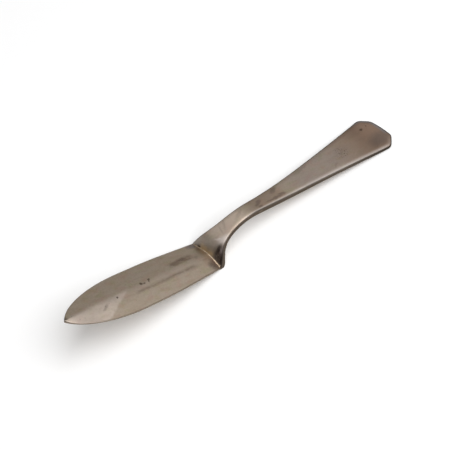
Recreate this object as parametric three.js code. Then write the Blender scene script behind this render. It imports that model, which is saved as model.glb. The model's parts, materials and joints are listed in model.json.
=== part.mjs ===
// A cranked butter knife: a leaf-shaped blade, a strap handle that rises steeply behind it, and the braze
// seam in the crease between them. Millimetres, +Z up.
//
// The knife is laid out with its blade level: the crease is at x = 0, the tip points along -X, the handle
// along +X, and the top of the blade's edge is at z = 0. The whole group is then tipped forward about Y
// until it rests as it does on a table, on its heel and on the underside of the handle's end.

import * as THREE from 'three';

const { degToRad, lerp, clamp } = THREE.MathUtils;

// Blade
const BLADE_LENGTH = 75;             // crease to tip
const SHOULDER_HALF_WIDTH = 8.8;     // at the crease
const BELLY_HALF_WIDTH = 10.7;       // at the widest place
const BELLY_AT = 41;                 // crease to the widest place
const TIP_HALF_HEIGHT = 6;           // how blunt the tip's curve is
const TIP_SETBACK = 4;
const EDGE_THICKNESS = 0.9;          // the blade's edge, which also sets its flat underside
const EDGE_ROUND = 0.15;
const RIDGE_HEIGHT = 1.1;            // middle of the top face above its edges
const TIP_RIDGE_HEIGHT = 0.3;
const RIDGE_FALL_FROM = 48;          // crease to where the ridge starts to fall to the tip

// Handle strap
const FOOT_SLOPE = degToRad(74);     // the riser behind the blade
const NECK_HALF_WIDTH = 3.3;
const NECK_AT = 26.5;                // along the strap, from the crease
const END_HALF_WIDTH = 10.9;
const THICKNESS = 2.4;
const END_THICKNESS = 1.7;
const THINNING_FROM = 30;            // along the strap, where it starts to thin
const CORNER_CLIP_ALONG = 4;         // clipped corners of the handle's end
const CORNER_CLIP_ACROSS = 4.9;
const HEEL_RADIUS = 1.6;
const BACK_ROUND = 0.3;              // edges of the strap's underside
const NECK_BEVEL = { width: 0.6, depth: 0.3 };
const END_BEVEL = { width: 2.2, depth: 0.8 };

// The strap's side view from the crease: each stretch has a length and the angle that it turns through.
const STRETCHES = [
  { length: 5, turn: 0 },
  { length: 6.23, turn: degToRad(-34) },
  { length: 19.55, turn: degToRad(-35) },
  { length: 28, turn: degToRad(5.5) },
  { length: 40, turn: 0 },
  { length: 10, turn: degToRad(9.5) },
];
const STRAP_LENGTH = STRETCHES.reduce((sum, stretch) => sum + stretch.length, 0);

// Joint
const JOINT_GAP = 0.2;               // clearance between the pieces
const SEAM_LEG = 1.1;                // braze fillet, along the blade and up the foot
const SEAM_INSET = 0.4;              // seam's ends, in from the blade's edges

// Facets
const BELLY_STATIONS = 12;
const TIP_STATIONS = 20;
const HEEL_STATIONS = 6;
const STRAP_STATIONS = 44;
const SEAM_STATIONS = 16;

// Plan outlines as half-widths: the blade's against x, the strap's against the distance along it.
const shoulderCurve = new THREE.CubicBezierCurve(
  new THREE.Vector2(0, SHOULDER_HALF_WIDTH),
  new THREE.Vector2(-18, SHOULDER_HALF_WIDTH + 1.8),
  new THREE.Vector2(-22, BELLY_HALF_WIDTH),
  new THREE.Vector2(-BELLY_AT, BELLY_HALF_WIDTH),
);
const tipCurve = new THREE.CubicBezierCurve(
  new THREE.Vector2(-BELLY_AT, BELLY_HALF_WIDTH),
  new THREE.Vector2(-BELLY_AT - 17, BELLY_HALF_WIDTH),
  new THREE.Vector2(-BLADE_LENGTH + TIP_SETBACK, TIP_HALF_HEIGHT),
  new THREE.Vector2(-BLADE_LENGTH, 0),
);
const footCurve = new THREE.CubicBezierCurve(
  new THREE.Vector2(0, SHOULDER_HALF_WIDTH),
  new THREE.Vector2(9, 6.2),
  new THREE.Vector2(NECK_AT - 20, NECK_HALF_WIDTH),
  new THREE.Vector2(NECK_AT, NECK_HALF_WIDTH),
);
const flareCurve = new THREE.CubicBezierCurve(
  new THREE.Vector2(NECK_AT, NECK_HALF_WIDTH),
  new THREE.Vector2(NECK_AT + 15, NECK_HALF_WIDTH),
  new THREE.Vector2(STRAP_LENGTH - 35, 6.4),
  new THREE.Vector2(STRAP_LENGTH, END_HALF_WIDTH),
);

// Height of a curve above a place on its baseline, found by halving.
function heightAt(curve, place) {
  let low = 0;
  let high = 1;
  for (let step = 0; step < 40; step++) {
    const middle = (low + high) / 2;
    if (curve.getPoint(middle).x < place) low = middle;
    else high = middle;
  }
  return curve.getPoint(low).y;
}

// A closed skin over a row of rings with equal numbers of points, closed at each end by a fan to a point.
function skin(rings, firstPole, lastPole) {
  const count = rings[0].length;
  const points = [...rings.flat(), firstPole, lastPole];
  const first = rings.length * count;
  const lastRing = first - count;
  const index = [];
  for (let k = 0; k < count; k++) {
    const next = (k + 1) % count;
    for (let ring = 0; ring < lastRing; ring += count) {
      index.push(ring + k, ring + next, ring + count + next);
      index.push(ring + k, ring + count + next, ring + count + k);
    }
    index.push(first, next, k);
    index.push(first + 1, lastRing + k, lastRing + next);
  }
  const geometry = new THREE.BufferGeometry().setFromPoints(points);
  geometry.setIndex(index);
  geometry.computeVertexNormals();
  return geometry;
}

function middleOf(ring) {
  const sum = ring.reduce((total, point) => total.add(point), new THREE.Vector3());
  return sum.divideScalar(ring.length);
}

// Blade: a soft roof over a flat underside. `across` runs from 0 on the ridge to 1 at the edge.
function bladeTop(x, across) {
  const fall = clamp((-x - RIDGE_FALL_FROM) / (BLADE_LENGTH - RIDGE_FALL_FROM), 0, 1);
  const ridge = lerp(RIDGE_HEIGHT, TIP_RIDGE_HEIGHT, fall ** 1.5);
  const softness = lerp(0.35, 0.08, fall);
  const edge = Math.hypot(1, softness);
  return ridge * (edge - Math.hypot(across, softness)) / (edge - softness);
}

function bladeRing(x, halfWidth) {
  const round = Math.min(EDGE_ROUND, halfWidth / 4);
  const section = [];
  for (const across of [1, 0.55, 0.2, 0, -0.2, -0.55, -1]) {
    section.push([across * (halfWidth - round), bladeTop(x, Math.abs(across))]);
  }
  section.push([-halfWidth, -round], [-halfWidth, round - EDGE_THICKNESS]);
  section.push([round - halfWidth, -EDGE_THICKNESS], [halfWidth - round, -EDGE_THICKNESS]);
  section.push([halfWidth, round - EDGE_THICKNESS], [halfWidth, -round]);
  return section.map(([y, z]) => new THREE.Vector3(x, y, z));
}

function bladeGeometry() {
  const nearTip = tipCurve.getPoint(1 - 0.3 / TIP_STATIONS);
  const tipPoints = tipCurve.getPoints(TIP_STATIONS).slice(1, -1);
  const outline = [...shoulderCurve.getPoints(BELLY_STATIONS), ...tipPoints, nearTip];
  const rings = outline.reverse().map((point) => bladeRing(point.x, point.y));
  const shoulder = rings.at(-1);
  for (const point of shoulder) {
    point.x = point.z / Math.tan(FOOT_SLOPE) - JOINT_GAP / Math.sin(FOOT_SLOPE);
  }
  const tip = new THREE.Vector3(-BLADE_LENGTH, 0, -EDGE_THICKNESS / 2);
  return skin(rings, tip, middleOf(shoulder));
}

// Place and slope of the strap's front face at a distance along it; below the crease it runs on straight.
function strapAt(distance) {
  let x = 0;
  let z = 0;
  let slope = FOOT_SLOPE;
  let left = distance;
  for (const stretch of STRETCHES) {
    const run = Math.min(left, stretch.length);
    const turn = stretch.turn * run / stretch.length;
    const chord = turn === 0 ? run : run * Math.sin(turn / 2) / (turn / 2);
    x += chord * Math.cos(slope + turn / 2);
    z += chord * Math.sin(slope + turn / 2);
    slope += turn;
    left -= run;
    if (left <= 0) break;
  }
  return { x, z, slope };
}

function strapHalfWidth(distance) {
  if (distance <= 0) return SHOULDER_HALF_WIDTH;
  const plain = heightAt(distance < NECK_AT ? footCurve : flareCurve, distance);
  const clip = (distance - STRAP_LENGTH + CORNER_CLIP_ALONG) / CORNER_CLIP_ALONG;
  if (clip <= 0) return plain;
  const clipStart = heightAt(flareCurve, STRAP_LENGTH - CORNER_CLIP_ALONG);
  return lerp(clipStart, END_HALF_WIDTH - CORNER_CLIP_ACROSS, clip);
}

function strapThickness(distance) {
  const thinning = clamp((distance - THINNING_FROM) / (STRAP_LENGTH - THINNING_FROM), 0, 1);
  return lerp(THICKNESS, END_THICKNESS, thinning);
}

function strapBack(distance) {
  const { x, z, slope } = strapAt(distance);
  const thickness = strapThickness(distance);
  return { x: x + thickness * Math.sin(slope), z: z - thickness * Math.cos(slope) };
}

// One ring of the strap, from a point on its front face to one on its back face. The front face's border
// falls away over the bevel, both at the sides and towards the end of the strap.
function strapRing(distance, back) {
  const front = strapAt(distance);
  const halfWidth = strapHalfWidth(distance);
  const flare = clamp(distance / STRAP_LENGTH, 0, 1);
  const width = lerp(NECK_BEVEL.width, END_BEVEL.width, flare);
  const depth = lerp(NECK_BEVEL.depth, END_BEVEL.depth, flare);
  const fromEnd = STRAP_LENGTH - distance;
  const bevel = (inset) => depth * (1 - clamp(Math.min(inset, fromEnd) / width, 0, 1)) ** 2;
  const full = Math.hypot(back.x - front.x, back.z - front.z);
  const lower = full - Math.max(BACK_ROUND - fromEnd, 0);

  const side = [[0, bevel(halfWidth)]];
  for (const inset of [width, width / 2, 0]) side.push([halfWidth - inset, bevel(inset)]);
  side.push([halfWidth, lower - BACK_ROUND], [halfWidth - BACK_ROUND, lower]);
  const otherSide = side.slice(1).map(([y, down]) => [-y, down]);
  return [...side.reverse(), ...otherSide].map(([y, down]) => new THREE.Vector3(
    lerp(front.x, back.x, down / full),
    y,
    lerp(front.z, back.z, down / full),
  ));
}

// Centre of the heel's round corner, which runs from the flat underside into the strap's back face.
function heelCentre() {
  const back = strapBack(0);
  const z = HEEL_RADIUS - EDGE_THICKNESS;
  const x = back.x + ((z - back.z) * Math.cos(FOOT_SLOPE) - HEEL_RADIUS) / Math.sin(FOOT_SLOPE);
  return { x, z };
}

function handleGeometry() {
  const heel = heelCentre();
  const underside = -EDGE_THICKNESS / Math.sin(FOOT_SLOPE);
  const heelTop = (heel.z - strapBack(0).z - HEEL_RADIUS * Math.cos(FOOT_SLOPE)) / Math.sin(FOOT_SLOPE);
  const rings = [];
  for (let step = 0; step < HEEL_STATIONS; step++) {
    const turned = step / HEEL_STATIONS;
    const angle = turned * FOOT_SLOPE - Math.PI / 2;
    const back = { x: heel.x + HEEL_RADIUS * Math.cos(angle), z: heel.z + HEEL_RADIUS * Math.sin(angle) };
    rings.push(strapRing(lerp(underside, heelTop, turned), back));
  }
  const bevelStart = STRAP_LENGTH - CORNER_CLIP_ALONG;
  for (let step = 0; step <= STRAP_STATIONS; step++) {
    const distance = lerp(heelTop, bevelStart, step / STRAP_STATIONS);
    rings.push(strapRing(distance, strapBack(distance)));
  }
  for (const fromEnd of [END_BEVEL.width, END_BEVEL.width / 2, BACK_ROUND, 0]) {
    const distance = STRAP_LENGTH - fromEnd;
    rings.push(strapRing(distance, strapBack(distance)));
  }
  return skin(rings, middleOf(rings[0]), middleOf(rings.at(-1)));
}

// Braze seam: a hollow-faced fillet that follows the bowed crease between the blade and the foot.
function seamGeometry() {
  const rings = [];
  for (let step = 0; step <= SEAM_STATIONS; step++) {
    const across = 2 * step / SEAM_STATIONS - 1;
    const y = across * (SHOULDER_HALF_WIDTH - SEAM_INSET);
    const z = bladeTop(0, Math.abs(across)) + JOINT_GAP;
    const x = z / Math.tan(FOOT_SLOPE) - JOINT_GAP / Math.sin(FOOT_SLOPE);
    const section = [
      [0, 0],
      [-SEAM_LEG, 0],
      [-0.2 * SEAM_LEG, 0.3 * SEAM_LEG],
      [SEAM_LEG * Math.cos(FOOT_SLOPE), SEAM_LEG * Math.sin(FOOT_SLOPE)],
    ];
    rings.push(section.map(([along, up]) => new THREE.Vector3(x + along, y, z + up)));
  }
  return skin(rings, middleOf(rings[0]), middleOf(rings.at(-1)));
}

// How far the level knife tips to rest: the line that touches both the heel's round and the strap's back.
function restAngle() {
  const heel = heelCentre();
  let angle = Infinity;
  for (let distance = STRAP_LENGTH / 2; distance <= STRAP_LENGTH; distance += 0.5) {
    const back = strapBack(distance);
    const along = back.x - heel.x;
    const up = back.z - heel.z;
    const tangent = Math.atan2(up, along) + Math.asin(HEEL_RADIUS / Math.hypot(along, up));
    angle = Math.min(angle, tangent);
  }
  return angle;
}

const tarnishedPlate = new THREE.MeshStandardMaterial({ color: 0x8c7e71, roughness: 0.38, metalness: 1 });
const wornPlate = new THREE.MeshStandardMaterial({ color: 0x958677, roughness: 0.34, metalness: 1 });
const brazeMetal = new THREE.MeshStandardMaterial({ color: 0xb79a62, roughness: 0.45, metalness: 1 });

function namedMesh(name, geometry, material) {
  const mesh = new THREE.Mesh(geometry, material);
  mesh.name = name;
  return mesh;
}

// The tipped knife, moved so that it stands on z = 0 with the middle of its box over the origin.
function restingKnife() {
  const knife = new THREE.Group();
  knife.add(namedMesh('blade', bladeGeometry(), tarnishedPlate));
  knife.add(namedMesh('handle', handleGeometry(), wornPlate));
  knife.add(namedMesh('braze_seam', seamGeometry(), brazeMetal));
  knife.rotation.y = restAngle();
  knife.updateMatrixWorld(true);
  const box = new THREE.Box3().setFromObject(knife, true);
  const middle = box.getCenter(new THREE.Vector3());
  knife.position.set(-middle.x, -middle.y, -box.min.z);
  return knife;
}

const group = new THREE.Group();
group.add(restingKnife());
export default group;
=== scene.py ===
import json
import math

import bpy
import numpy as np
from mathutils import Matrix, Vector, noise


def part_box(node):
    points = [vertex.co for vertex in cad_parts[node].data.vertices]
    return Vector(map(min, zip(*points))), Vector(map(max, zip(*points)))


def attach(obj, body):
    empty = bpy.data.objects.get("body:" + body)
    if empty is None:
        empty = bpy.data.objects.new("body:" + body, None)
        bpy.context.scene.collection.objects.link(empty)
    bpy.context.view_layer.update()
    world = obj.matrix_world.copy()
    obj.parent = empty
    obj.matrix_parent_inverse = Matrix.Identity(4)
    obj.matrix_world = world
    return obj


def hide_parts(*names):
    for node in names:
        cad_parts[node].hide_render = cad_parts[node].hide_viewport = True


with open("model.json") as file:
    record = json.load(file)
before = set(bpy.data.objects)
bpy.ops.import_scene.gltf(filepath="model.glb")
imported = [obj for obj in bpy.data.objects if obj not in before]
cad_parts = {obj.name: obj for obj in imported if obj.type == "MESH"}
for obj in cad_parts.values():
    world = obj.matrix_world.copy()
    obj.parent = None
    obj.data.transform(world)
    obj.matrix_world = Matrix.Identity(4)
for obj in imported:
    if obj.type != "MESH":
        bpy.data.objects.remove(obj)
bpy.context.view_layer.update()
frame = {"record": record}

# The knife is drawn in millimetres with its blade level: the crease is at x = 0, the tip points along -X,
# the handle along +X, and the top of the blade's edge is at z = 0. Its near side is -Y and its far side +Y.
# rest_matrix() then tips it onto its heel and handle, where the record's mount says that the blade's
# underside is.
MM = 0.001

# The blade, with its distances measured from the crease towards the tip.
BLADE_LENGTH = 75.0
SHOULDER_HALF_WIDTH = 8.8
BELLY_HALF_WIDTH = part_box("blade")[1].y / MM
BELLY_AT = 41.0
EDGE_THICKNESS = 0.9
BLADE_ROUND = 0.14
BLADE_UNDER_ROUND = 0.5
RIDGE_HEIGHT = 1.1
TIP_RIDGE_HEIGHT = 0.3
RIDGE_FALL_FROM = 48.0
RIDGE_SOFTNESS = 0.35
TIP_RIDGE_SOFTNESS = 0.08
MOUNT_AT = 37.0

# The strap that makes the foot, the neck and the handle, with its distances measured along its front face.
FOOT_SLOPE = math.radians(74)
NECK_HALF_WIDTH = 3.3
NECK_AT = 26.5
END_HALF_WIDTH = 10.9
THICKNESS = 2.4
END_THICKNESS = 1.7
THINNING_FROM = 30.0
HEEL_RADIUS = 1.6
CLIP_ALONG = 3.8
CLIP_ACROSS = 4.7
CLIP_RADIUS = 3.0
END_BOW = 0.4
END_SKEW = 0.5
STRAP_ROUND = 0.14
NECK_BEVEL_WIDTH, NECK_BEVEL_DEPTH = 1.3, 0.14
END_BEVEL_WIDTH, END_BEVEL_DEPTH = 2.5, 0.3

# The strap's side view from the crease: each stretch's length, and the degrees that it turns through.
STRETCHES = ((5, 0), (6.23, -34), (19.55, -35), (28, 5.5), (40, 0), (10, 9.5))
STRAP_LENGTH = sum(length for length, turn in STRETCHES)

# The strap's back edges are rounder on the riser and towards the end than elsewhere.
BACK_ROUND_PLACES = (1.5, 4, 6, 9, 45, 85)
BACK_ROUNDS = (STRAP_ROUND, 0.85, 0.85, STRAP_ROUND, STRAP_ROUND, 0.5)

# The seam's legs up the foot and along the blade are about this long, and its back is sunk in the metal.
SEAM_LEG = 0.27
SEAM_SHORT_OF_EDGE = 0.6
SEAM_SUNK = 0.12

DENT_DEPTH = 0.03

# A face has points at these distances in from its edge, and then at even steps to its middle.
INSETS = (0, 0.015, 0.05, 0.1, 0.18, 0.32, 0.5, 0.8, 1.2, 1.7, 2.3)
INNER_STEPS = 9
SHARP_ANGLE = math.radians(50)
TOP, WALL, UNDERSIDE = 0, 1, 2


def rest_matrix():
    """From the level knife in millimetres to the resting knife in metres."""
    mount = frame["record"]["mounts"][0]
    angle = math.atan2(-mount["axis"][0], -mount["axis"][2])
    to_mount = Matrix.Translation((MOUNT_AT, 0, EDGE_THICKNESS))
    return (
        Matrix.Translation(mount["pos_m"])
        @ Matrix.Rotation(angle, 4, "Y")
        @ Matrix.Scale(MM, 4)
        @ to_mount
    )


def bezier(points, steps):
    """Points of a cubic curve from its four control points."""
    t = np.linspace(0, 1, steps + 1)[:, None]
    a, b, c, d = (np.array(point, float) for point in points)
    return (1 - t) ** 3 * a + 3 * (1 - t) ** 2 * t * b + 3 * (1 - t) * t * t * c + t ** 3 * d


def fillet(before, corner, after, radius, steps=10):
    """Points of a round corner of the given radius between two straight lines."""
    before, corner, after = (np.array(point, float) for point in (before, corner, after))
    back = (before - corner) / np.linalg.norm(before - corner)
    on = (after - corner) / np.linalg.norm(after - corner)
    half = math.acos(np.clip(back @ on, -1, 1)) / 2
    middle = (back + on) / np.linalg.norm(back + on)
    centre = corner + middle * radius / math.sin(half)
    start = corner + back * radius / math.tan(half) - centre
    end = corner + on * radius / math.tan(half) - centre
    sweep = math.pi - 2 * half
    t = np.linspace(0, 1, steps + 1)[:, None]
    return centre + (np.sin((1 - t) * sweep) * start + np.sin(t * sweep) * end) / math.sin(sweep)


def distances(points, line):
    """Distance from each point to the nearest place on a line of points."""
    a, b = line[:-1], line[1:]
    run = b - a
    length = np.maximum((run ** 2).sum(1), 1e-12)
    best = np.full(len(points), np.inf)
    for start, step, square in zip(a, run, length):
        t = np.clip(((points - start) @ step) / square, 0, 1)[:, None]
        best = np.minimum(best, np.hypot(*(points - start - t * step).T))
    return best


# ---- Outlines: distance along the piece against half-width ----

def blade_outline():
    """From the tip to the crease."""
    tip = bezier(((-BELLY_AT, BELLY_HALF_WIDTH), (-BELLY_AT - 17, BELLY_HALF_WIDTH),
                  (-BLADE_LENGTH + 4, 6), (-BLADE_LENGTH, 0)), 110)
    shoulder = bezier(((0, SHOULDER_HALF_WIDTH), (-18, SHOULDER_HALF_WIDTH + 1.3),
                       (-22, BELLY_HALF_WIDTH), (-BELLY_AT, BELLY_HALF_WIDTH)), 60)
    return np.vstack([tip[1:-1][::-1], shoulder[:-1][::-1], shoulder[:1]])


def strap_outline(start):
    """From the foot's underside to the handle's end, with round clipped corners."""
    foot = bezier(((0, SHOULDER_HALF_WIDTH), (9, 6.2),
                   (NECK_AT - 20, NECK_HALF_WIDTH), (NECK_AT, NECK_HALF_WIDTH)), 60)
    flare = bezier(((NECK_AT, NECK_HALF_WIDTH), (NECK_AT + 15, NECK_HALF_WIDTH),
                    (STRAP_LENGTH - 35, 6.4), (STRAP_LENGTH, END_HALF_WIDTH)), 160)
    below = np.column_stack([np.linspace(start, -0.05, 12), np.full(12, SHOULDER_HALF_WIDTH)])
    clip_start = STRAP_LENGTH - CLIP_ALONG
    outer = (clip_start, np.interp(clip_start, *flare.T))
    inner = (STRAP_LENGTH, END_HALF_WIDTH - CLIP_ACROSS)
    first = fillet(flare[-12], outer, inner, CLIP_RADIUS)
    second = fillet(outer, inner, (STRAP_LENGTH, 0), CLIP_RADIUS)
    straight = np.linspace(first[-1], second[0], 10)[1:-1]
    flare = flare[flare[:, 0] < first[0, 0] - 0.1]
    return np.vstack([below, foot, flare[1:], first, straight, second])


# ---- Meshes ----

def ring_offsets(half_width):
    """Places across one face, from its edge to its middle and on to the other edge."""
    insets = np.array(INSETS) * min(1, half_width / 3.2)
    inner = (half_width - insets[-1]) * (1 - np.arange(1, INNER_STEPS + 1) / INNER_STEPS)
    side = np.concatenate([half_width - insets, inner])
    return np.concatenate([side, -side[-2::-1]])


def rounding(inset, radius):
    """How far a rounded edge has fallen at an inset from the outline."""
    return radius - np.sqrt(radius ** 2 - np.maximum(radius - inset, 0) ** 2)


def plate_mesh(name, outline, end_point, top, bottom, place):
    """A closed thin piece between the outline and its mirror image. top() and bottom() give the depths of
    its two faces, and place() turns a distance along, a place across and a depth into a point."""
    edge = np.vstack([outline, [end_point]]) if end_point[0] > 0 else np.vstack([[end_point], outline])
    rings, layout, face = [], [], []
    for along, half_width in outline:
        across = ring_offsets(half_width)
        inset = distances(np.column_stack([np.full(len(across), along), np.abs(across)]), edge)
        upper = top(along, across, inset)
        lower = bottom(along, across, inset)
        sides = np.linspace(upper[-1], lower[-1], 5)[1:-1]
        count = len(across)
        rings.append(
            [place(along, y, depth) for y, depth in zip(across, upper)]
            + [place(along, -half_width, depth) for depth in sides]
            + [place(along, y, depth) for y, depth in zip(across[::-1], lower[::-1])]
            + [place(along, half_width, depth) for depth in sides[::-1]]
        )
        layout += [(along, y, i) for y, i in zip(across, inset)]
        layout += [(along, -half_width, 0)] * 3
        layout += [(along, y, i) for y, i in zip(across[::-1], inset[::-1])]
        layout += [(along, half_width, 0)] * 3
        face += [TOP] * count + [WALL] * 3 + [UNDERSIDE] * count + [WALL] * 3
    return loft_mesh(name, rings, layout, face)


def loft_mesh(name, rings, layout, face):
    """A closed skin over rings of points. The materials read where each point lies from its layout (along,
    across and in from the outline, in millimetres) and which face it is on."""
    count = len(rings[0])
    vertices = [point for ring in rings for point in ring]
    faces = [list(range(count))[::-1], [len(vertices) - count + k for k in range(count)]]
    for first in range(0, len(vertices) - count, count):
        for k in range(count):
            n = (k + 1) % count
            faces.append((first + k, first + n, first + count + n, first + count + k))
    mesh = bpy.data.meshes.new(name)
    mesh.from_pydata(vertices, [], faces)
    mesh.transform(rest_matrix())
    mesh.attributes.new("layout", "FLOAT_VECTOR", "POINT").data.foreach_set("vector", np.ravel(layout))
    mesh.attributes.new("face", "FLOAT", "POINT").data.foreach_set("value", np.array(face, float))
    mesh.shade_smooth()
    mesh.set_sharp_from_angle(angle=SHARP_ANGLE)
    mesh.validate()
    piece = bpy.data.objects.new(name, mesh)
    bpy.context.collection.objects.link(piece)
    return piece


def unevenness(along, across, seed):
    """Small dents from use, in millimetres."""
    return np.array([DENT_DEPTH * noise.noise(Vector((along / 11, y / 7, seed))) for y in across])


# ---- Blade ----

def roof(along, across, half_width):
    """Height of the blade's soft ridge above its edges."""
    fall = np.clip((-along - RIDGE_FALL_FROM) / (BLADE_LENGTH - RIDGE_FALL_FROM), 0, 1)
    ridge = RIDGE_HEIGHT + (TIP_RIDGE_HEIGHT - RIDGE_HEIGHT) * fall ** 1.5
    softness = RIDGE_SOFTNESS + (TIP_RIDGE_SOFTNESS - RIDGE_SOFTNESS) * fall
    edge = math.hypot(1, softness)
    share = np.abs(across) / half_width
    return ridge * (edge - np.hypot(share, softness)) / (edge - softness)


def make_blade():
    outline = blade_outline()

    def half_width_at(along):
        return np.interp(along, *outline.T)

    def top(along, across, inset):
        height = roof(along, across, half_width_at(along)) + unevenness(along, across, 0)
        return rounding(inset, BLADE_ROUND) - height

    def bottom(along, across, inset):
        return EDGE_THICKNESS - rounding(inset, BLADE_UNDER_ROUND)

    def place(along, y, depth):
        lean = -depth / math.tan(FOOT_SLOPE) if along > -1e-6 else 0
        return (along + lean, y, -depth)

    return plate_mesh("knife_blade", outline, (-BLADE_LENGTH, 0), top, bottom, place)


# ---- Handle ----

def strap_at(distance):
    """Place and slope of the strap's front face, which runs on straight past both of its ends."""
    x, z, slope, left = 0.0, 0.0, FOOT_SLOPE, distance
    for length, degrees in STRETCHES:
        run = min(left, length)
        turn = math.radians(degrees) * run / length
        chord = run if turn == 0 else run * math.sin(turn / 2) / (turn / 2)
        x += chord * math.cos(slope + turn / 2)
        z += chord * math.sin(slope + turn / 2)
        slope += turn
        left -= run
        if left <= 0:
            break
    return x + left * math.cos(slope), z + left * math.sin(slope), slope


def strap_back(distance):
    """Place of the strap's back face, square behind its front."""
    x, z, slope = strap_at(distance)
    thickness = np.interp(distance, (THINNING_FROM, STRAP_LENGTH), (THICKNESS, END_THICKNESS))
    return x + thickness * math.sin(slope), z - thickness * math.cos(slope)


def heel():
    """Centre of the heel's round corner, and where along the strap it starts and ends."""
    back_x, back_z = strap_back(0)
    z = HEEL_RADIUS - EDGE_THICKNESS
    x = back_x + ((z - back_z) * math.cos(FOOT_SLOPE) - HEEL_RADIUS) / math.sin(FOOT_SLOPE)
    start = -EDGE_THICKNESS / math.sin(FOOT_SLOPE)
    end = (z - back_z - HEEL_RADIUS * math.cos(FOOT_SLOPE)) / math.sin(FOOT_SLOPE)
    return x, z, start, end


def end_stretch(along, across):
    """How much longer the handle's end is than its outline says: it bows out between its corners, and is
    cut out of square with the near corner longest."""
    fade = np.clip((along - STRAP_LENGTH + CLIP_ALONG) / CLIP_ALONG, 0, 1)
    corner = END_HALF_WIDTH - CLIP_ACROSS
    share = np.clip(across / corner, -1, 1)
    return fade * (END_BOW * (1 - share ** 2) + END_SKEW * (1 - share) / 2)


def make_handle():
    heel_x, heel_z, heel_start, heel_end = heel()

    def back_at(distance):
        if distance >= heel_end:
            return strap_back(distance)
        angle = FOOT_SLOPE * (distance - heel_start) / (heel_end - heel_start) - math.pi / 2
        return heel_x + HEEL_RADIUS * math.cos(angle), heel_z + HEEL_RADIUS * math.sin(angle)

    def thickness_at(distance):
        x, z, _ = strap_at(distance)
        back_x, back_z = back_at(distance)
        return math.hypot(back_x - x, back_z - z)

    def top(along, across, inset):
        flare = np.clip(along / STRAP_LENGTH, 0, 1)
        width = NECK_BEVEL_WIDTH + (END_BEVEL_WIDTH - NECK_BEVEL_WIDTH) * flare
        depth = NECK_BEVEL_DEPTH + (END_BEVEL_DEPTH - NECK_BEVEL_DEPTH) * flare
        bevel = depth * (1 - np.clip(inset / width, 0, 1)) ** 2
        return bevel + rounding(inset, STRAP_ROUND) + unevenness(along, across, 5)

    def bottom(along, across, inset):
        radius = np.interp(along, BACK_ROUND_PLACES, BACK_ROUNDS)
        return thickness_at(along) - rounding(inset, radius)

    def place(along, y, depth):
        along += end_stretch(along, y)
        x, z, _ = strap_at(along)
        back_x, back_z = back_at(along)
        share = depth / math.hypot(back_x - x, back_z - z)
        return (x + (back_x - x) * share, y, z + (back_z - z) * share)

    return plate_mesh("knife_handle", strap_outline(heel_start), (STRAP_LENGTH, 0), top, bottom, place)


# ---- Braze seam ----

def make_seam():
    """An uneven hollow fillet along the crease, which thins out towards the far side."""
    rings, layout = [], []
    up = Vector((math.cos(FOOT_SLOPE), 0, math.sin(FOOT_SLOPE)))
    reach = SHOULDER_HALF_WIDTH - SEAM_SHORT_OF_EDGE
    for y in np.linspace(-reach, reach, 120):
        z = float(roof(0, y, SHOULDER_HALF_WIDTH))
        crease = Vector((z / math.tan(FOOT_SLOPE), y, z))
        leg = SEAM_LEG - 0.01 * y + 0.16 * noise.noise(Vector((y * 0.8, 0, 9)))
        start = crease + Vector((-leg, 0, 0.01))
        end = crease + up * leg
        pull = crease - (start + end) / 2
        ring = [crease + Vector((SEAM_SUNK, 0, -SEAM_SUNK)), crease + Vector((-leg, 0, -SEAM_SUNK)), start]
        ring += [start.lerp(end, t) + pull * 1.1 * t * (1 - t) for t in (0.25, 0.5, 0.75)]
        ring += [end, end + Vector((SEAM_SUNK, 0, 0))]
        rings.append([tuple(point) for point in ring])
        layout += [(0, y, 0)] * len(ring)
    return loft_mesh("knife_seam", rings, layout, [TOP] * len(layout))


# ---- Materials ----

LIGHT_PLATE = (0.605, 0.503, 0.405)
DARK_PLATE = (0.505, 0.415, 0.322)


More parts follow.
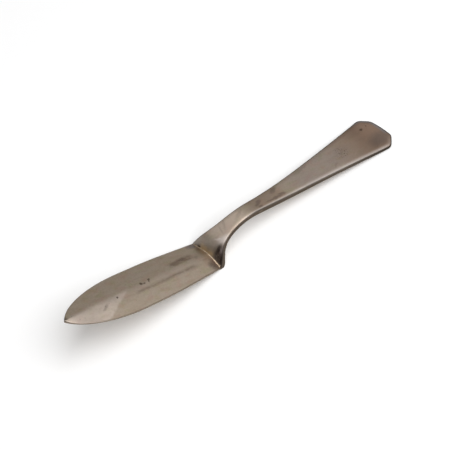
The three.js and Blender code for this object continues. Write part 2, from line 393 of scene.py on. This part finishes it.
class Graph:
    """Short names for the nodes of a metal. Its vectors are in millimetres along and across the piece."""

    def __init__(self, name):
        self.material = bpy.data.materials.new(name)
        self.material.use_nodes = True
        self.tree = self.material.node_tree
        self.shader = self.tree.nodes["Principled BSDF"]
        self.shader.inputs["Metallic"].default_value = 1
        self.shader.inputs["Specular Tint"].default_value = (0.45, 0.40, 0.36, 1)
        layout = self.node("ShaderNodeAttribute", attribute_name="layout")
        face = self.node("ShaderNodeAttribute", attribute_name="face")
        split = self.node("ShaderNodeSeparateXYZ", {"Vector": layout.outputs["Vector"]})
        self.along, self.across, self.inset = split.outputs
        self.face = face.outputs["Fac"]
        self.on_top = self.ramp(self.face, 0.6, 0.2)
        self.on_wall = self.ramp(self.math("ABSOLUTE", self.math("SUBTRACT", self.face, WALL)), 0.7, 0.2)
        layer = self.math("MULTIPLY", self.face, 40.0)
        join = self.node("ShaderNodeCombineXYZ", {"X": self.along, "Y": self.across, "Z": layer})
        self.place = join.outputs["Vector"]

    def node(self, kind, inputs=None, **settings):
        node = self.tree.nodes.new(kind)
        for name, value in settings.items():
            setattr(node, name, value)
        for name, value in (inputs or {}).items():
            self.feed(node.inputs[name], value)
        return node

    def feed(self, socket, value):
        if isinstance(value, bpy.types.NodeSocket):
            self.tree.links.new(value, socket)
        else:
            socket.default_value = value

    def math(self, operation, first, second=0.0):
        return self.node("ShaderNodeMath", {0: first, 1: second}, operation=operation).outputs[0]

    def grey(self, value):
        return self.node("ShaderNodeCombineColor", {0: value, 1: value, 2: value}).outputs[0]

    def both(self, *masks):
        """Where all of the masks are: their product."""
        product = masks[0]
        for mask in masks[1:]:
            product = self.math("MULTIPLY", product, mask)
        return product

    def ramp(self, value, start, end, low=0.0, high=1.0):
        """Rises smoothly from low where value is start to high where it is end."""
        inputs = {"Value": value, "From Min": start, "From Max": end, "To Min": low, "To Max": high}
        return self.node("ShaderNodeMapRange", inputs, interpolation_type="SMOOTHSTEP").outputs[0]

    def band(self, value, start, end, soft):
        """1 between start and end, fading to 0 over the soft distance."""
        rise = self.ramp(value, start - soft, start + soft)
        return self.both(rise, self.ramp(value, end + soft, end - soft))

    def mix(self, share, first, second, blend="MIX"):
        node = self.node("ShaderNodeMix", {"Factor": share}, data_type="RGBA", blend_type=blend)
        for socket, value in ((node.inputs[6], first), (node.inputs[7], second)):
            self.feed(socket, value if isinstance(value, bpy.types.NodeSocket) else (*value, 1))
        return node.outputs[2]

    def noise(self, size, detail=2.0, stretch=1.0, offset=0.0):
        """Cloudy noise from 0 to 1 with blobs of about the given size, stretched along the piece."""
        mapping = self.node(
            "ShaderNodeMapping",
            {"Vector": self.place, "Location": (offset, offset, offset),
             "Scale": (1 / (size * stretch), 1 / size, 1 / size)},
        )
        inputs = {"Vector": mapping.outputs[0], "Scale": 1.0, "Detail": detail, "Roughness": 0.55}
        return self.node("ShaderNodeTexNoise", inputs).outputs["Fac"]

    def rough_place(self, size, amount):
        """The place shifted a little at random, so that a mark drawn at it gets an uneven border."""
        inputs = {"Vector": self.place, "Scale": 1 / size, "Detail": 2.0}
        colour = self.node("ShaderNodeTexNoise", inputs).outputs["Color"]
        middle = self.node("ShaderNodeVectorMath", {0: colour, 1: (0.5, 0.5, 0.5)}, operation="SUBTRACT")
        inputs = {0: middle.outputs[0], "Scale": amount}
        shift = self.node("ShaderNodeVectorMath", inputs, operation="SCALE")
        inputs = {0: self.place, 1: shift.outputs[0]}
        return self.node("ShaderNodeVectorMath", inputs, operation="ADD").outputs[0]

    def spot(self, vector, centre, size, turn=0.0, soft=0.5):
        """An oval mark on the top face: 1 in its middle, 0 outside."""
        mapping = self.node(
            "ShaderNodeMapping",
            {"Vector": vector, "Location": (*centre, 0), "Rotation": (0, 0, math.radians(turn)),
             "Scale": (*size, 8)},
            vector_type="TEXTURE",
        )
        length = self.node("ShaderNodeVectorMath", {0: mapping.outputs[0]}, operation="LENGTH")
        return self.ramp(length.outputs["Value"], 1 + soft, 1 - soft)

    def most(self, masks):
        """Where any of the masks is: the highest of them."""
        total = masks[0]
        for mask in masks[1:]:
            total = self.math("MAXIMUM", total, mask)
        return total

    def marks(self, vector, soft, *ovals):
        """Several oval marks, each given by its centre, its size and its turn in degrees."""
        return self.most([self.spot(vector, *oval, soft=soft) for oval in ovals])

    def tint(self, colour, stain, mask, strength):
        """Lays a stain of a colour over what is there, where the mask says."""
        return self.mix(self.math("MULTIPLY", mask, strength), colour, stain)

    def stain(self, colour, stain, mask, strength):
        """Lays a stain on the top face only."""
        return self.tint(colour, stain, self.both(mask, self.on_top), strength)


def plate(graph):
    """Old silver plate: cloudy tarnish with pink and green tinges, streaks and fine mottling. Also gives
    the clouds."""
    clouds = graph.ramp(graph.noise(7, 3, stretch=1.8), 0.35, 0.65)
    colour = graph.mix(clouds, LIGHT_PLATE, DARK_PLATE)
    pink = graph.ramp(graph.noise(3.0, 2, stretch=1.6, offset=19), 0.48, 0.68)
    colour = graph.mix(pink, colour, (1.0, 0.925, 0.93), "MULTIPLY")
    green = graph.ramp(graph.noise(3.0, 2, stretch=1.6, offset=43), 0.48, 0.68)
    colour = graph.mix(green, colour, (0.95, 0.985, 0.90), "MULTIPLY")
    streaks = graph.ramp(graph.noise(2.6, 3, stretch=4, offset=13), 0.45, 0.7)
    colour = graph.mix(streaks, colour, (0.94, 0.93, 0.92), "MULTIPLY")
    mottle = graph.ramp(graph.noise(0.8, 3, offset=31), 0.35, 0.7, 0.94, 1.04)
    colour = graph.mix(1.0, colour, graph.grey(mottle), "MULTIPLY")
    return colour, clouds


def finish_plate(graph, colour, clouds, rougher_areas, shade_rim_width, shade_rim_strength):
    """Darkens the walls and the rim that they leave on the faces as painted shade for the dark surroundings
    that they reflect, then adds pits, scratches, roughness and bump. The rougher areas, stained or painted,
    are rougher than the plate."""
    # Painted shade: the walls and the rims along the faces' edges are darkened.
    rim = graph.ramp(graph.inset, shade_rim_width, 0.12)
    colour = graph.tint(colour, (0.056, 0.045, 0.038), graph.most([rim, graph.on_wall]), shade_rim_strength)
    cells = graph.node("ShaderNodeTexVoronoi", {"Vector": graph.place, "Scale": 0.55, "Randomness": 1.0})
    pit = graph.ramp(cells.outputs["Distance"], 0.14, 0.05)
    rare = graph.node("ShaderNodeSeparateColor", {"Color": cells.outputs["Color"]})
    pit = graph.both(pit, graph.ramp(rare.outputs[0], 0.72, 0.8))
    colour = graph.tint(colour, (0.09, 0.07, 0.05), pit, 0.55)
    fine = graph.noise(0.16, 2, stretch=30, offset=57)
    cross = graph.noise(0.22, 2, stretch=12, offset=71)
    scratch = graph.math("ADD", graph.ramp(fine, 0.62, 0.72), graph.ramp(cross, 0.66, 0.74))
    colour = graph.mix(graph.math("MULTIPLY", scratch, 0.08), colour, (0.75, 0.66, 0.55))
    roughness = graph.ramp(clouds, 0, 1, 0.30, 0.40)
    roughness = graph.math("ADD", roughness, graph.math("MULTIPLY", rougher_areas, 0.12))
    roughness = graph.math("ADD", roughness, graph.math("MULTIPLY", scratch, 0.05))
    graph.feed(graph.shader.inputs["Base Color"], colour)
    graph.feed(graph.shader.inputs["Roughness"], roughness)
    height = graph.math("SUBTRACT", graph.noise(0.8, 3, offset=31), graph.math("MULTIPLY", pit, 2.0))
    height = graph.math("SUBTRACT", height, graph.math("MULTIPLY", scratch, 0.2))
    bump = graph.node("ShaderNodeBump", {"Height": height, "Strength": 0.35, "Distance": 0.02 * MM})
    graph.feed(graph.shader.inputs["Normal"], bump.outputs[0])
    return graph.material


def tip_highlight_and_shade(graph, colour):
    """Painted light on the tip: its near facet is lightened up to a slanting border as a painted highlight,
    and its point is darkened as painted shade in place of its highlight.
    """
    along, across = graph.along, graph.across
    slant = graph.math("SUBTRACT", along, graph.math("MULTIPLY", across, 1.8))
    slant = graph.math("ADD", slant, graph.math("MULTIPLY", graph.noise(3, 2), 3.0))
    wander = graph.math("ADD", across, graph.math("MULTIPLY", graph.noise(2.5, 2, offset=7), 1.6))
    patchy = graph.ramp(graph.noise(1.8, 2, offset=23), 0.3, 0.6, 0.7, 1.0)
    near_facet_highlight = graph.both(graph.ramp(slant, -40.6, -43.4), graph.ramp(wander, 2.0, -0.2), patchy)
    # Painted highlight on the tip's near facet.
    colour = graph.stain(colour, (0.86, 0.74, 0.66), near_facet_highlight, 0.5)
    # Painted shade darkening the point.
    return graph.stain(colour, (0.10, 0.085, 0.075), graph.ramp(along, -72.5, -74.6), 0.75)


def streaked_middle(graph, colour):
    """The blade's middle is lighter, with two brown streaks from the shoulder. Also gives the streaks."""
    along, across = graph.along, graph.across
    middle = graph.both(graph.band(across, -1.9, 0.2, 0.7), graph.band(along, -46, -12, 5))
    colour = graph.stain(colour, (0.70, 0.56, 0.49), middle, 0.2)
    gap = graph.ramp(graph.noise(1.6, 3, stretch=1.8, offset=5), 0.3, 0.55, 0.4, 1.0)
    wave = graph.math("ADD", across, graph.math("MULTIPLY", graph.noise(3, 2, stretch=3, offset=53), 1.4))
    far = graph.both(graph.band(wave, 1.8, 4.2, 0.7), graph.band(along, -19, -7, 1.8), gap)
    near = graph.both(graph.band(wave, -3.0, -1.7, 0.8), graph.band(along, -41, -9, 3), gap)
    streaks = graph.most([far, graph.math("MULTIPLY", near, 0.85)])
    return graph.stain(colour, (0.205, 0.15, 0.115), streaks, 0.8), streaks


def tarnished_crease(graph, colour, rough):
    """Tarnish gathers in front of the crease, with a little of the seam's gold beside it. Also gives the
    tarnish."""
    along, across = graph.along, graph.across
    gold = graph.both(graph.ramp(along, -3.5, -0.5), graph.band(across, -2, 4, 1.5))
    colour = graph.stain(colour, (0.66, 0.52, 0.34), gold, 0.4)
    reach = graph.math("ADD", along, graph.math("MULTIPLY", graph.noise(1.6, 3, offset=11), 4.0))
    crease = graph.both(graph.ramp(reach, -2.2, 2.2), graph.ramp(across, 1.0, -5.0, 0.3, 1.0))
    colour = graph.stain(colour, (0.22, 0.14, 0.10), crease, 0.9)
    corner = graph.spot(rough, (-0.8, 7.8), (3.4, 1.6))
    return graph.stain(colour, (0.24, 0.225, 0.235), corner, 0.6), crease


def blade_marks(graph, colour, rough):
    """Black pits along the ridge, and softer marks."""
    pits = graph.marks(
        rough, 0.5,
        ((-36.2, 0.2), (0.75, 0.6), 20),
        ((-34.9, -0.1), (0.5, 0.35), 0),
        ((-31.9, 0.4), (0.45, 0.35), 30),
        ((-32.3, -0.5), (0.4, 0.35), 40),
        ((-49.7, -1.2), (0.5, 0.35), 0),
    )
    colour = graph.stain(colour, (0.07, 0.045, 0.028), pits, 0.85)
    soft = graph.marks(
        rough, 0.8,
        ((-5.7, 0.8), (0.9, 0.7), 0),
        ((-2.9, -5.6), (1.2, 0.9), 30),
        ((-2.2, -7.2), (1.6, 0.8), 60),
        ((-57.0, -3.0), (1.9, 0.5), 35),
        ((-12.0, 2.9), (1.6, 0.9), 0),
    )
    return graph.stain(colour, (0.13, 0.095, 0.075), soft, 0.38)


def blade_metal():
    graph = Graph("blade_plate")
    rough = graph.rough_place(1.6, 1.6)
    colour, clouds = plate(graph)
    colour = tip_highlight_and_shade(graph, colour)
    colour, streaks = streaked_middle(graph, colour)
    colour, crease = tarnished_crease(graph, colour, rough)
    colour = blade_marks(graph, colour, rough)
    rougher_areas = graph.both(graph.most([streaks, crease]), graph.on_top)
    # 0.36 and 0.6 set the painted shade rim's width and strength.
    return finish_plate(graph, colour, clouds, rougher_areas, 0.36, 0.6)


def neck_wear_and_highlight(graph, colour, rough):
    """The neck is lighter from wear and from painted sheen, brightest at the knee, which gets a painted
    highlight and a painted glint streak.
    """
    # Lighter neck band: wear with painted sheen.
    colour = graph.stain(colour, (0.78, 0.635, 0.545), graph.band(graph.along, 9, 25, 3), 0.38)
    # Painted highlight at the knee, with a painted glint streak.
    knee = graph.spot(graph.place, (10.5, -3.6), (3.2, 1.6), -25, soft=0.8)
    streak = graph.spot(rough, (9.5, -2.0), (2.2, 0.6), -50, soft=0.8)
    return graph.stain(colour, (0.95, 0.85, 0.79), graph.most([knee, streak]), 0.75)


def browned_handle(graph, colour, rough):
    """The handle is browner behind the neck and greyer in its middle. Its end is brown, with a dull near
    corner and a cold grey rim. Also gives the brown."""
    along, across = graph.along, graph.across
    cool = graph.both(graph.band(along, 54, 90, 8), graph.on_top)
    colour = graph.mix(cool, colour, (0.93, 0.93, 1.0), "MULTIPLY")
    behind = graph.math("MULTIPLY", graph.band(along, 28, 46, 4), 0.56)
    end = graph.ramp(graph.math("ADD", along, graph.math("MULTIPLY", graph.noise(12, 2), 8)), 75, 106)
    brown = graph.most([behind, end])
    colour = graph.stain(colour, (0.278, 0.188, 0.138), brown, 0.94)
    dull = graph.spot(rough, (104.0, -4.6), (5.0, 4.0), soft=0.7)
    colour = graph.stain(colour, (0.165, 0.13, 0.11), dull, 0.68)
    rim = graph.ramp(graph.inset, 1.9, 0.6)
    cold = graph.both(rim, graph.ramp(along, 98, 106), graph.ramp(across, -5, -2))
    return graph.stain(colour, (0.27, 0.26, 0.27), cold, 0.7), brown


def foot_shade_and_gold(graph, colour, rough):
    """The foot is darkened by tarnish and painted shade, and its near side carries a nearly black painted
    dark reflection with a lighter streak. It is stained golden beside the seam. Also gives the dark
    reflection."""
    along, across = graph.along, graph.across
    # Painted shade on the steep foot, together with its tarnish.
    colour = graph.stain(colour, (0.34, 0.30, 0.265), graph.ramp(along, 9.5, 2.5), 0.8)
    slope = graph.math("SUBTRACT", across, graph.math("MULTIPLY", along, 0.25))
    edge = graph.math("ADD", slope, graph.math("MULTIPLY", graph.noise(2.2, 3, offset=3), 4.0))
    # Painted dark reflection on the foot's near side.
    dark_reflection = graph.both(graph.ramp(edge, 0.6, -4.6), graph.ramp(along, 10, 5.0))
    reflection_patches = graph.ramp(graph.noise(1.0, 3, offset=61), 0.35, 0.6, 0.72, 1.0)
    lifted = graph.ramp(along, 0.0, 2.5, 0.65, 1.0)
    colour = graph.stain(colour, (0.078, 0.056, 0.047), graph.both(dark_reflection, reflection_patches, lifted), 0.96)
    # A lighter streak in the painted dark reflection.
    lighter_streak = graph.spot(rough, (6.4, -5.6), (2.0, 0.8), 15, soft=0.8)
    colour = graph.stain(colour, (0.36, 0.29, 0.29), lighter_streak, 0.55)
    # The darkest parts of the painted dark reflection.
    black = graph.marks(rough, 0.6, ((5.6, -3.9), (2.6, 0.8), -4), ((2.9, -7.2), (2.4, 0.8), 23))
    colour = graph.stain(colour, (0.03, 0.02, 0.018), black, 0.68)
    reach = graph.math("ADD", along, graph.math("MULTIPLY", graph.noise(1.8, 2, offset=29), 2.5))
    golden = graph.both(graph.ramp(reach, 6.0, 2.0), graph.band(across, -2.5, 4.5, 1.6))
    return graph.stain(colour, (0.86, 0.64, 0.36), golden, 0.75), dark_reflection


def handle_marks(graph, colour, rough):
    """Smudges behind the neck, faint marks, a pocked patch and three dark spots."""
    smudges = graph.marks(
        rough, 0.5,
        ((44.3, 2.1), (2.2, 0.9), 25),
        ((42.0, -1.9), (5.0, 0.6), -3),
        ((33.3, -2.1), (1.2, 0.6), 10),
        ((46.0, -1.5), (1.8, 0.7), -20),
        ((33.7, 0.2), (2.4, 0.9), 30),
    )
    colour = graph.stain(colour, (0.12, 0.09, 0.085), smudges, 0.45)
    faint = graph.marks(
        rough, 0.8,
        ((15.5, 1.4), (2.6, 0.4), 55),
        ((12.8, 0.6), (2.0, 0.4), 70),
        ((23.0, 0.6), (2.6, 0.6), 20),
        ((62.0, 3.8), (3.5, 0.8), 8),
        ((77.0, -3.6), (1.6, 0.4), 30),
    )
    colour = graph.stain(colour, (0.20, 0.155, 0.14), faint, 0.25)
    pocked = graph.ramp(graph.noise(0.6, 2, offset=17), 0.52, 0.62)
    patch = graph.both(pocked, graph.spot(rough, (84.3, 0.4), (3.2, 3.0), soft=0.6))
    colour = graph.stain(colour, (0.13, 0.095, 0.07), patch, 0.75)
    spots = graph.marks(
        rough, 0.5,
        ((101.7, 5.2), (0.9, 0.6), 0),
        ((105.2, 5.6), (0.3, 0.3), 0),
        ((1.0, 5.2), (0.7, 0.6), 0),
    )
    return graph.stain(colour, (0.07, 0.045, 0.028), spots, 0.75)


def bevel_wear_and_highlight(graph, colour):
    """The near bevel is lightened by wear along the edge and by a painted highlight."""
    bevel = graph.ramp(graph.inset, graph.ramp(graph.along, 10, 80, 0.8, 2.2), 0.5)
    wear_and_highlight = graph.both(bevel, graph.ramp(graph.across, 0, -2), graph.band(graph.along, 24, 104, 5))
    # Painted highlight, with edge wear, along the near bevel.
    return graph.stain(colour, (0.74, 0.72, 0.70), wear_and_highlight, 0.42)


def handle_metal():
    graph = Graph("handle_plate")
    rough = graph.rough_place(1.6, 1.6)
    colour, clouds = plate(graph)
    colour = neck_wear_and_highlight(graph, colour, rough)
    colour, brown = browned_handle(graph, colour, rough)
    colour, dark_reflection = foot_shade_and_gold(graph, colour, rough)
    colour = handle_marks(graph, colour, rough)
    colour = bevel_wear_and_highlight(graph, colour)
    rougher_areas = graph.both(graph.most([brown, dark_reflection]), graph.on_top)
    # Width and strength of the painted shade rim along the edges.
    shade_rim_width = graph.ramp(graph.along, 10, 70, 0.45, 0.62)
    shade_rim_strength = graph.ramp(graph.along, 75, 105, 0.88, 1.0)
    return finish_plate(graph, colour, clouds, rougher_areas, shade_rim_width, shade_rim_strength)


def seam_metal():
    """Golden brazing metal, dull in places and darker towards the far side."""
    graph = Graph("braze_metal")
    dull = graph.ramp(graph.noise(1.1, 3), 0.4, 0.65)
    colour = graph.mix(dull, (0.78, 0.62, 0.46), (0.50, 0.37, 0.24))
    colour = graph.tint(colour, (0.32, 0.23, 0.13), graph.ramp(graph.across, -1.0, 5.0), 0.5)
    graph.feed(graph.shader.inputs["Base Color"], colour)
    graph.feed(graph.shader.inputs["Roughness"], graph.ramp(dull, 0, 1, 0.3, 0.5))
    return graph.material


# ---- Stage, light and camera ----

def make_floor():
    bpy.ops.mesh.primitive_plane_add(size=6)
    floor = bpy.context.object
    floor.name = "floor"
    material = bpy.data.materials.new("pale_floor")
    material.use_nodes = True
    shader = material.node_tree.nodes["Principled BSDF"]
    shader.inputs["Base Color"].default_value = (0.9, 0.9, 0.9, 1)
    shader.inputs["Roughness"].default_value = 0.8
    floor.data.materials.append(material)


def make_world(strength):
    world = bpy.data.worlds.new("studio")
    world.use_nodes = True
    world.node_tree.nodes["Background"].inputs["Color"].default_value = (1, 1, 1, 1)
    world.node_tree.nodes["Background"].inputs["Strength"].default_value = strength
    bpy.context.scene.world = world


def make_softbox(name, direction, distance, size, power):
    """A rectangular area light that faces the knife from a direction given by azimuth and elevation."""
    azimuth, elevation = (math.radians(angle) for angle in direction)
    outward = Vector((
        math.cos(azimuth) * math.cos(elevation),
        math.sin(azimuth) * math.cos(elevation),
        math.sin(elevation),
    ))
    light = bpy.data.lights.new(name, "AREA")
    light.shape = "RECTANGLE"
    light.size, light.size_y = size
    light.energy = power
    lamp = bpy.data.objects.new(name, light)
    lamp.location = outward * distance
    lamp.rotation_mode = "QUATERNION"
    lamp.rotation_quaternion = outward.to_track_quat("Z", "Y")
    bpy.context.collection.objects.link(lamp)


VIEW_AZIMUTH, VIEW_ELEVATION, VIEW_ROLL = -41.1, 49.75, -2.2
VIEW_AIM = Vector((1.3, 7.6, 0)) * MM
VIEW_DISTANCE = 0.6
LENS = 114.4


def make_camera():
    azimuth, elevation, roll = (math.radians(angle) for angle in (VIEW_AZIMUTH, VIEW_ELEVATION, VIEW_ROLL))
    back = Vector((
        math.sin(azimuth) * math.cos(elevation),
        -math.cos(azimuth) * math.cos(elevation),
        math.sin(elevation),
    ))
    right = Vector((math.cos(azimuth), math.sin(azimuth), 0))
    up = back.cross(right)
    turned_right = math.cos(roll) * right + math.sin(roll) * up
    turned_up = back.cross(turned_right)
    data = bpy.data.cameras.new("camera")
    data.lens = LENS
    camera = bpy.data.objects.new("camera", data)
    axes = Matrix((turned_right, turned_up, back)).transposed()
    camera.matrix_world = Matrix.Translation(VIEW_AIM + back * VIEW_DISTANCE) @ axes.to_4x4()
    bpy.context.collection.objects.link(camera)
    bpy.context.scene.camera = camera


make_camera()
for piece, node, slot, material in (
    (make_blade(), "blade", "blade_plate", blade_metal()),
    (make_handle(), "handle", "handle_plate", handle_metal()),
    (make_seam(), "braze_seam", "braze_metal", seam_metal()),
):
    piece.data.materials.append(material)
    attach(piece, "root")
    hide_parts(node)

make_floor()
make_world(0.37)
make_softbox("key", (290, 64), 1.2, (1.5, 1.5), 19)
make_softbox("back_left", (125, 50), 1.2, (0.9, 0.9), 0.3)
make_softbox("right", (2, 48), 1.1, (0.9, 0.9), 0.5)
bpy.context.scene.view_settings.view_transform = "Standard"
